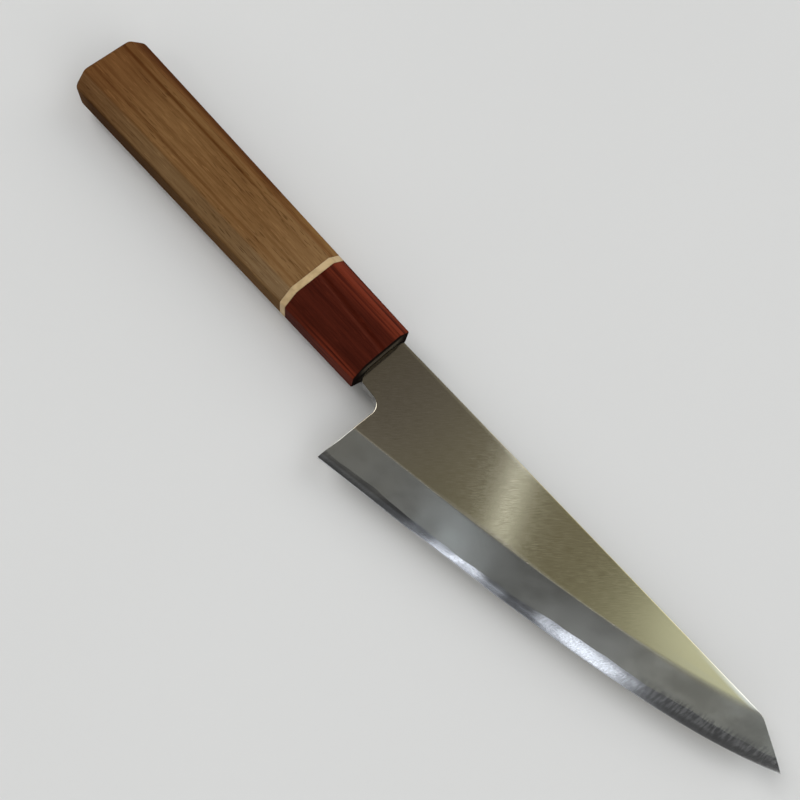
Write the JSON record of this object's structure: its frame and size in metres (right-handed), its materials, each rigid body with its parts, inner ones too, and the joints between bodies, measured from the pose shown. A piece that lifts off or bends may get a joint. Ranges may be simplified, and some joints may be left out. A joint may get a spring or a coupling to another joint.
{
  "type": "honesuki knife",
  "caption": "Boning knife with an angular triangular blade of three steel layers, wide right bevel, narrow left bevel and an octagonal wooden handle with spacer and ferrule.",
  "frame": {"origin": "middle of the knife's bounding box, on the surface it lies on", "axes": "+X from butt to tip, +Y from cutting edge to spine, +Z out of the blade's right face: the knife lies on its left side"},
  "size_m": [0.2828, 0.046, 0.0168],
  "materials": {
    "walnut": "satin, fine straight grain",
    "cream_resin": "satin",
    "red_wood": "polished, striped grain",
    "pale_wood": "raw",
    "bedding_resin": "cast",
    "hard_steel": "ground and stropped",
    "soft_steel": "satin flat, hazy bevel"
  },
  "bodies": {
    "root": {"handle_body": "walnut", "spacer_ring": "cream_resin", "ferrule": "red_wood", "handle_dowel": "pale_wood", "tang_bedding": "bedding_resin", "core_steel": "hard_steel", "right_cladding": "soft_steel", "left_cladding": "soft_steel"}
  },
  "joints": []
}
